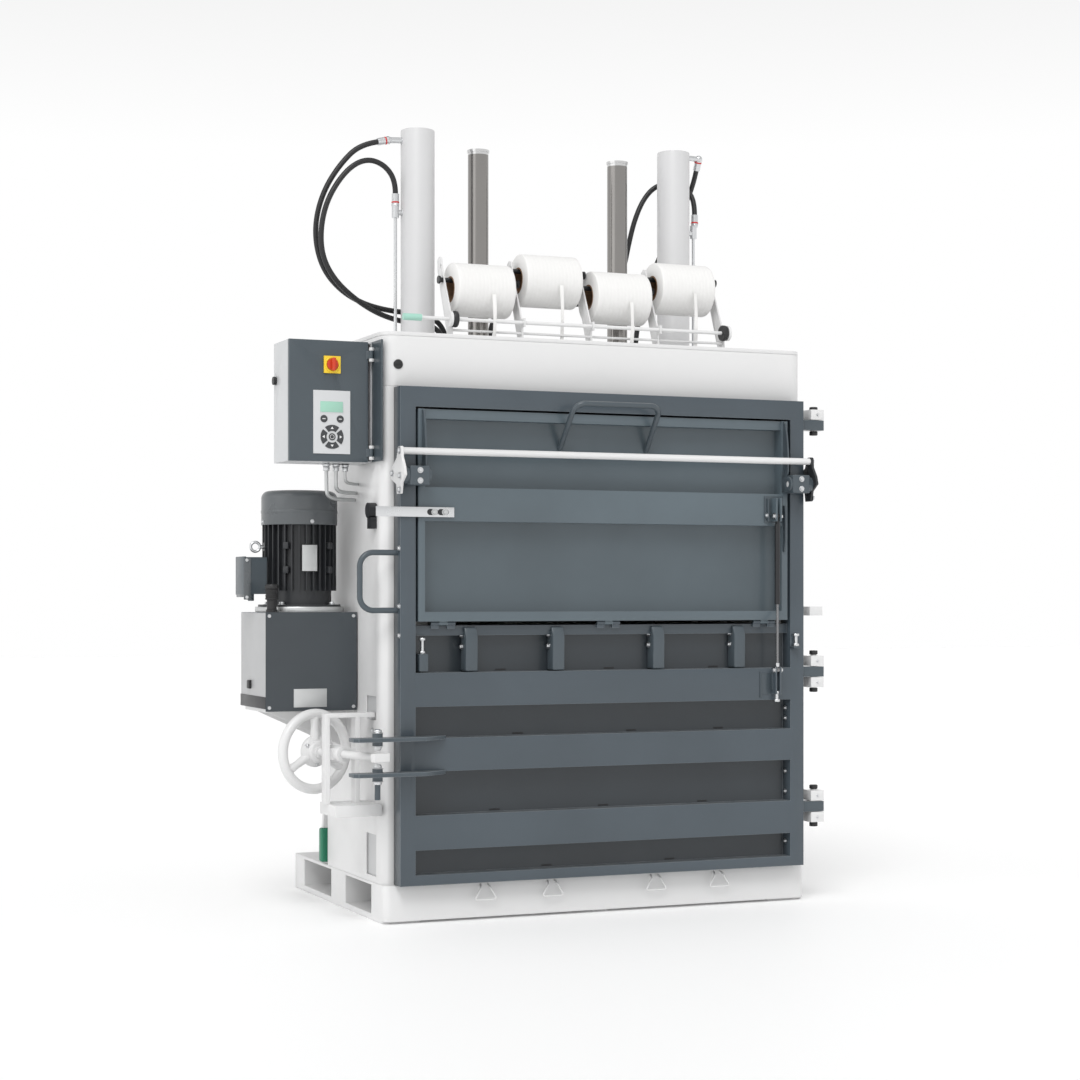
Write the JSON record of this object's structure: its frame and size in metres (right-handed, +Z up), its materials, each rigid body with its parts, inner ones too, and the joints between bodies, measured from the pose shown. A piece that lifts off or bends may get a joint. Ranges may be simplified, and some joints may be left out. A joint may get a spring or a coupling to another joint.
{
  "type": "recycling baler",
  "caption": "Upright hydraulic baling press with a full-height door, a loading flap in the door, a side power pack, a control cabinet and strap rolls on its deck.",
  "frame": {"origin": "on the floor, in the middle of the centre foot's underside", "axes": "X runs to the right seen from the door, Y to the back, Z up"},
  "size_m": [1.901, 1.103, 2.59],
  "materials": {
    "body_paint": "semi-gloss warm light grey powder coat",
    "door_paint": "semi-gloss anthracite powder coat",
    "black_paint": "satin black paint",
    "rod_steel": "ground and hard-chromed rod",
    "zinc_steel": "zinc plate",
    "hose_rubber": "smooth black hose cover",
    "strap_fabric": "woven white polyester strap",
    "keypad_foil": "printed foil keypad",
    "switch_yellow": "moulded yellow",
    "switch_red": "moulded red"
  },
  "bodies": {
    "frame": {"base_frame": "body_paint", "left_side_wall": "body_paint", "right_side_wall": "body_paint", "chamber_liner": "body_paint", "chamber_floor": "body_paint", "header_beam": "body_paint", "top_plate": "body_paint", "left_cylinder": "body_paint", "right_cylinder": "body_paint", "guide_bushes": "body_paint", "oil_fittings": "zinc_steel", "left_hose_upper": "hose_rubber", "left_hose_lower": "hose_rubber", "right_hose": "hose_rubber", "cross_hose": "hose_rubber", "cabinet_box": "body_paint", "cabinet_mount": "door_paint", "tank": "door_paint", "tank_bracket": "body_paint", "motor_body": "black_paint", "fan_cover": "door_paint", "terminal_box": "door_paint", "eye_bolt": "zinc_steel", "breather": "black_paint", "oil_pump": "black_paint", "lock_yoke": "body_paint", "rack_plates": "body_paint", "roll_axles": "zinc_steel", "strap_guides": "body_paint", "body_hinges": "body_paint", "door_sensor": "black_paint"},
    "press": {"press_plate": "body_paint", "guide_rods": "rod_steel", "piston_rods": "rod_steel"},
    "door": {"door_frame": "door_paint", "door_handle": "door_paint", "lock_plates": "door_paint", "strap_claws": "door_paint", "door_hinges": "door_paint"},
    "flap": {"flap_panel": "door_paint", "flap_handle": "door_paint", "sensor_bar": "zinc_steel", "bar_bearings": "door_paint"},
    "bar": {"locking_bar": "body_paint"},
    "strut_tube_body": {"strut_tube": "black_paint"},
    "strut_rod_body": {"strut_rod": "rod_steel"},
    "cabinet_door_body": {"cabinet_door": "door_paint", "keypad_panel": "keypad_foil", "switch_plate": "switch_yellow"},
    "switch_body": {"switch_knob": "switch_red"},
    "side_lock_body": {"side_lock": "black_paint"},
    "rotor": {"motor_rotor": "black_paint"},
    "spindle": {"lock_spindle": "body_paint"},
    "wheel": {"handwheel": "body_paint"},
    "roll_1": {"strap_roll_1": "strap_fabric"},
    "roll_2": {"strap_roll_2": "strap_fabric"},
    "roll_3": {"strap_roll_3": "strap_fabric"},
    "roll_4": {"strap_roll_4": "strap_fabric"},
    "brake": {"brake_shaft": "zinc_steel"},
    "lever": {"ejector_lever": "body_paint"}
  },
  "joints": [
    {"name": "press_stroke", "type": "slide", "parent": "frame", "child": "press", "axis": [0, 0, -1], "range_m": [0, 0.6]},
    {"name": "door_swing", "type": "hinge", "parent": "frame", "child": "door", "pos_m": [0.772, -0.432, 0.8], "axis": [0, 0, 1], "range_deg": [0, 120]},
    {"name": "flap_swing", "type": "hinge", "parent": "door", "child": "flap", "pos_m": [0, -0.452, 0.9415], "axis": [1, 0, 0], "range_deg": [0, 95]},
    {"name": "bar_swing", "type": "hinge", "parent": "flap", "child": "bar", "pos_m": [0, -0.5, 1.4], "axis": [1, 0, 0], "range_deg": [0, 60]},
    {"name": "strut_swing", "type": "hinge", "parent": "flap", "child": "strut_tube_body", "pos_m": [0.601, -0.49, 1.293], "axis": [1, 0, 0], "range_deg": [-40, 10]},
    {"name": "strut_stroke", "type": "slide", "parent": "strut_tube_body", "child": "strut_rod_body", "axis": [0, 0, 1], "range_m": [-0.005, 0.2]},
    {"name": "cabinet_swing", "type": "hinge", "parent": "frame", "child": "cabinet_door_body", "pos_m": [-0.764, -0.328, 1.6385], "axis": [0, 0, 1], "range_deg": [0, 85]},
    {"name": "switch_turn", "type": "hinge", "parent": "cabinet_door_body", "child": "switch_body", "pos_m": [-0.892, -0.335, 1.752], "axis": [0, 1, 0], "range_deg": [0, 90]},
    {"name": "side_lock_turn", "type": "hinge", "parent": "frame", "child": "side_lock_body", "pos_m": [-1.025, -0.176, 1.709], "axis": [1, 0, 0], "range_deg": [0, 90]},
    {"name": "motor_spin", "type": "hinge", "parent": "frame", "child": "rotor", "pos_m": [-0.902, 0, 1.15], "axis": [0, 0, 1], "continuous": true},
    {"name": "spindle_turn", "type": "hinge", "parent": "frame", "child": "spindle", "pos_m": [-0.8, -0.522, 0.532], "axis": [-0.284, 0.9588, 0], "range_deg": [0, 90]},
    {"name": "handwheel_turn", "type": "hinge", "parent": "spindle", "child": "wheel", "pos_m": [-0.8, -0.522, 0.532], "axis": [-0.284, 0.9588, 0], "continuous": true},
    {"name": "brake_turn", "type": "hinge", "parent": "frame", "child": "brake", "pos_m": [0, -0.35, 1.911], "axis": [1, 0, 0], "range_deg": [-30, 30]},
    {"name": "lever_swing", "type": "hinge", "parent": "frame", "child": "lever", "pos_m": [-0.73, 0.222, 0.41], "axis": [1, 0, 0], "range_deg": [0, 60]},
    {"name": "roll_1_turn", "type": "hinge", "parent": "frame", "child": "roll_1", "pos_m": [-0.376, -0.262, 2.018], "axis": [1, 0, 0], "continuous": true},
    {"name": "roll_2_turn", "type": "hinge", "parent": "frame", "child": "roll_2", "pos_m": [-0.132, -0.244, 2.063], "axis": [1, 0, 0], "continuous": true},
    {"name": "roll_3_turn", "type": "hinge", "parent": "frame", "child": "roll_3", "pos_m": [0.112, -0.262, 2.018], "axis": [1, 0, 0], "continuous": true},
    {"name": "roll_4_turn", "type": "hinge", "parent": "frame", "child": "roll_4", "pos_m": [0.356, -0.244, 2.063], "axis": [1, 0, 0], "continuous": true}
  ],
  "couplings": [
    {"joint": "strut_swing", "follows": "flap_swing", "ratio": -0.22546},
    {"joint": "strut_stroke", "follows": "flap_swing", "m_per_rad": 0.114}
  ]
}
